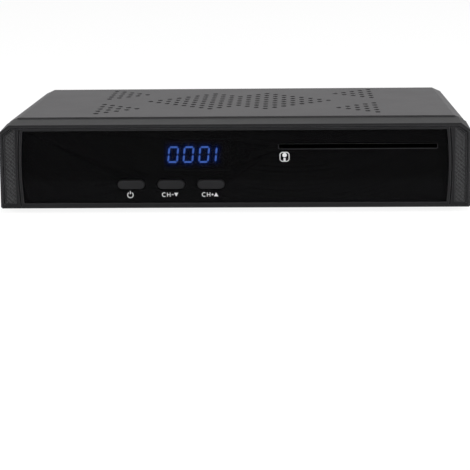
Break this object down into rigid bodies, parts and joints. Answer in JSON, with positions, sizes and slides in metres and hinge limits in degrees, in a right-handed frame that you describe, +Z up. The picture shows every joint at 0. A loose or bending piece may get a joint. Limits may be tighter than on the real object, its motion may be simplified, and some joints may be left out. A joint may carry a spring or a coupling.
{
  "type": "satellite tv receiver",
  "caption": "Flat set-top satellite receiver: deep bevelled front with smoked window, lit display, push buttons and card slot, folded steel cover with vent slots.",
  "frame": {"origin": "middle of the footprint, on the surface that the feet stand on", "axes": "+X to the right seen from the front, +Y to the rear, +Z up"},
  "size_m": [0.22, 0.154, 0.0421],
  "materials": {
    "bezel_abs": "satin",
    "cheek_weave": "satin",
    "window_acrylic": "gloss",
    "button_abs": "satin",
    "cover_paint": "satin",
    "bare_steel": "satin",
    "dark_screw": "satin",
    "foot_rubber": "matte",
    "board_green": "satin",
    "chip_black": "matte",
    "socket_black": "satin",
    "connector_white": "satin",
    "nickel": "gloss",
    "aluminium_fin": "satin",
    "contact_gold": "gloss",
    "guide_plastic": "matte",
    "display_shell": "matte",
    "digit_blue": "gloss",
    "eye_dark": "gloss"
  },
  "bodies": {
    "case": {"front_bezel": "bezel_abs", "window_panel": "window_acrylic", "cheek_left": "cheek_weave", "cheek_right": "cheek_weave", "top_cover": "cover_paint", "chassis_tray": "bare_steel", "rear_panel": "cover_paint", "feet": "foot_rubber", "cover_screws": "dark_screw", "panel_screws": "dark_screw", "bezel_screws": "dark_screw", "board_screws": "nickel", "board_spacers": "nickel", "front_screws": "nickel", "main_board": "board_green", "processor": "chip_black", "heatsink": "aluminium_fin", "memory_chips": "chip_black", "flash_chip": "chip_black", "crystal": "nickel", "capacitors": "socket_black", "inductors": "chip_black", "regulators": "chip_black", "tuner_can": "bare_steel", "phono_sockets": "socket_black", "phono_collars": "nickel", "hdmi_socket": "nickel", "usb_socket": "nickel", "network_socket": "nickel", "optical_socket": "socket_black", "dc_inlet": "socket_black", "button_guide": "guide_plastic", "switch_bodies": "chip_black", "front_board": "board_green", "display_block": "display_shell", "lit_digits": "digit_blue", "remote_eye": "eye_dark", "display_driver": "chip_black", "ribbon_headers": "connector_white", "ribbon_cable": "connector_white", "card_reader": "socket_black", "card_board": "board_green", "card_contacts": "contact_gold", "card_board_posts": "guide_plastic", "f_socket_in": "nickel", "f_nut_in": "nickel", "f_socket_out": "nickel", "f_nut_out": "nickel"},
    "power_button": {"button_power": "button_abs", "plunger_power": "guide_plastic"},
    "down_button": {"button_down": "button_abs", "plunger_down": "guide_plastic"},
    "up_button": {"button_up": "button_abs", "plunger_up": "guide_plastic"}
  },
  "joints": [
    {"name": "power_press", "type": "slide", "parent": "case", "child": "power_button", "axis": [0, 1, 0], "range_m": [0, 0.0006], "stiffness_N_per_m": 1500},
    {"name": "down_press", "type": "slide", "parent": "case", "child": "down_button", "axis": [0, 1, 0], "range_m": [0, 0.0006], "stiffness_N_per_m": 1500},
    {"name": "up_press", "type": "slide", "parent": "case", "child": "up_button", "axis": [0, 1, 0], "range_m": [0, 0.0006], "stiffness_N_per_m": 1500}
  ]
}
